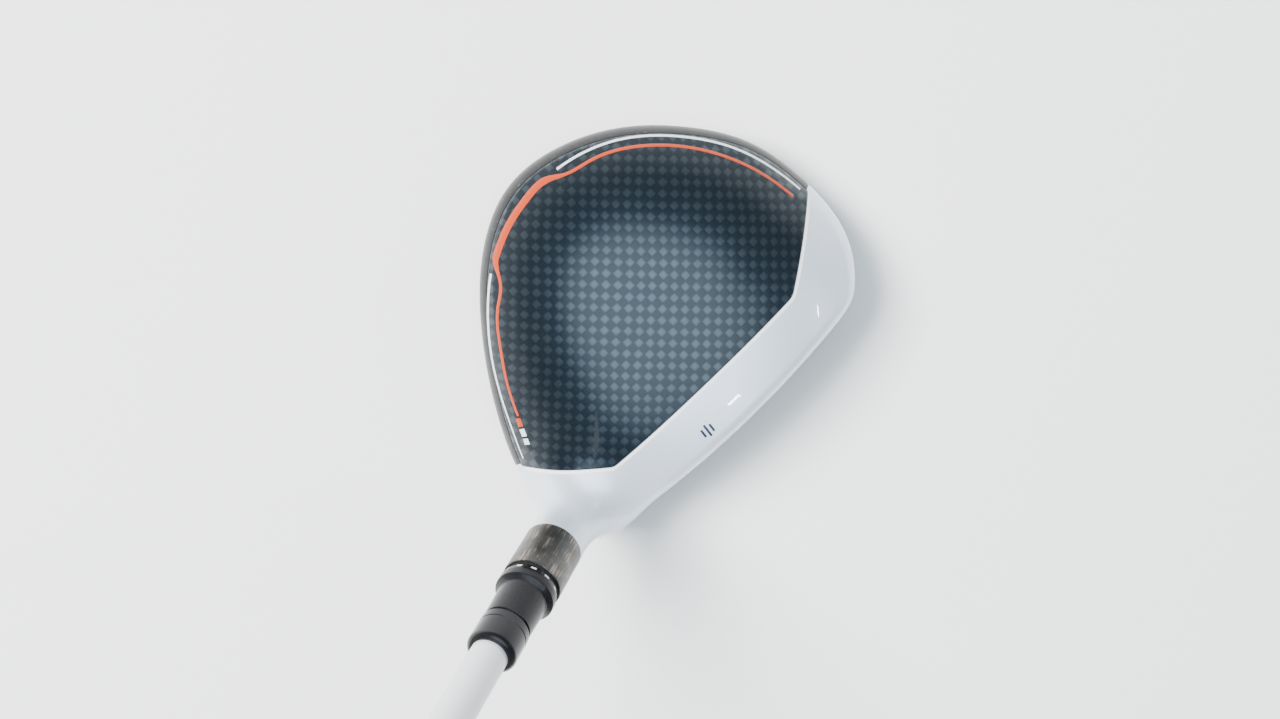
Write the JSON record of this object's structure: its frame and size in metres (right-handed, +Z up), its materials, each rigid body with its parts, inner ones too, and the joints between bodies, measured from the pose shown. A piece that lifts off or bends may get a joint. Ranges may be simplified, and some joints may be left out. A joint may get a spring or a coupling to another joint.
{
  "type": "fairway wood",
  "caption": "Left-handed golf fairway wood with hollow head, woven carbon crown panel, sliding sole weight, turnable loft sleeve, graphite shaft and rubber grip.",
  "frame": {"origin": "centre of the flat rest patch on the sole, with the club at address", "axes": "+X towards the toe, the face looks along -Y, +Z up; the shaft rises towards -X at a lie of 58.5 degrees"},
  "size_m": [0.6691, 0.0878, 0.9437],
  "materials": {
    "pearl_paint": "satin pearl white lacquer, clear coated",
    "face_metal": "fine brushed, with scored lines",
    "carbon_crown": "woven carbon fibre under gloss clear coat",
    "slot_polymer": "matt moulded polymer",
    "carbon_sole": "woven carbon fibre, satin",
    "tungsten": "bead blasted dark grey",
    "weight_steel": "dark brushed steel",
    "screw_steel": "turned steel",
    "hosel_metal": "gunmetal, worn by the shaft adapter",
    "screw_aluminium": "plain machined",
    "retainer": "moulded nylon",
    "washer_dark": "matt black",
    "sleeve_black": "gloss black anodised",
    "mark_white": "white paint fill",
    "ferrule_black": "polished black",
    "shaft_silver": "silver white satin paint on graphite",
    "plug": "cork coloured moulded plug",
    "tape": "double sided paper tape",
    "grip_rubber": "matt black rubber with moulded grooves"
  },
  "bodies": {
    "shaft_side": {"loft_sleeve": "sleeve_black", "sleeve_index_marks": "mark_white", "ferrule": "ferrule_black", "shaft": "shaft_silver", "shaft_tip_plug": "plug", "grip_tape": "tape", "grip": "grip_rubber", "grip_end_cap": "grip_rubber"},
    "collar": {"collar_washer": "washer_dark"},
    "head": {"head_body": "pearl_paint", "face_plate": "face_metal", "crown_panel": "carbon_crown", "slot_insert": "slot_polymer", "rear_sole_panel": "carbon_sole", "rear_weight_plug": "tungsten", "hosel_tube": "hosel_metal", "screw_washer": "screw_steel", "screw_retainer": "retainer"},
    "hosel_screw": {"hosel_screw": "screw_aluminium"},
    "weight_carriage": {"sliding_weight": "weight_steel"},
    "weight_screw": {"weight_screw": "screw_steel"},
    "clamp_nut": {"weight_clamp_nut": "screw_steel"}
  },
  "joints": [
    {"name": "sleeve_turn", "type": "hinge", "parent": "shaft_side", "child": "collar", "pos_m": [-0.06251, -0.022, 0.04979], "axis": [0.5225, 0, -0.8526], "continuous": true},
    {"name": "head_drop", "type": "slide", "parent": "collar", "child": "head", "axis": [0.5225, 0, -0.8526], "range_m": [0, 0.008]},
    {"name": "hosel_screw_turn", "type": "hinge", "parent": "head", "child": "hosel_screw", "pos_m": [-0.03775, -0.022, 0.00938], "axis": [0.5225, 0, -0.8526], "range_deg": [0, 3600]},
    {"name": "weight_slide", "type": "slide", "parent": "head", "child": "weight_carriage", "axis": [1, 0, 0], "range_m": [-0.0158, 0.0158]},
    {"name": "weight_screw_turn", "type": "hinge", "parent": "weight_carriage", "child": "weight_screw", "pos_m": [0.0045, -0.014, 0.004], "axis": [0, 0, -1], "range_deg": [0, 360]},
    {"name": "clamp_nut_lift", "type": "slide", "parent": "weight_carriage", "child": "clamp_nut", "axis": [0, 0, 1], "range_m": [0, 0.0008]}
  ],
  "couplings": [
    {"joint": "hosel_screw_turn", "follows": "head_drop", "rad_per_m": 7854},
    {"joint": "weight_screw_turn", "follows": "clamp_nut_lift", "rad_per_m": 7854}
  ]
}
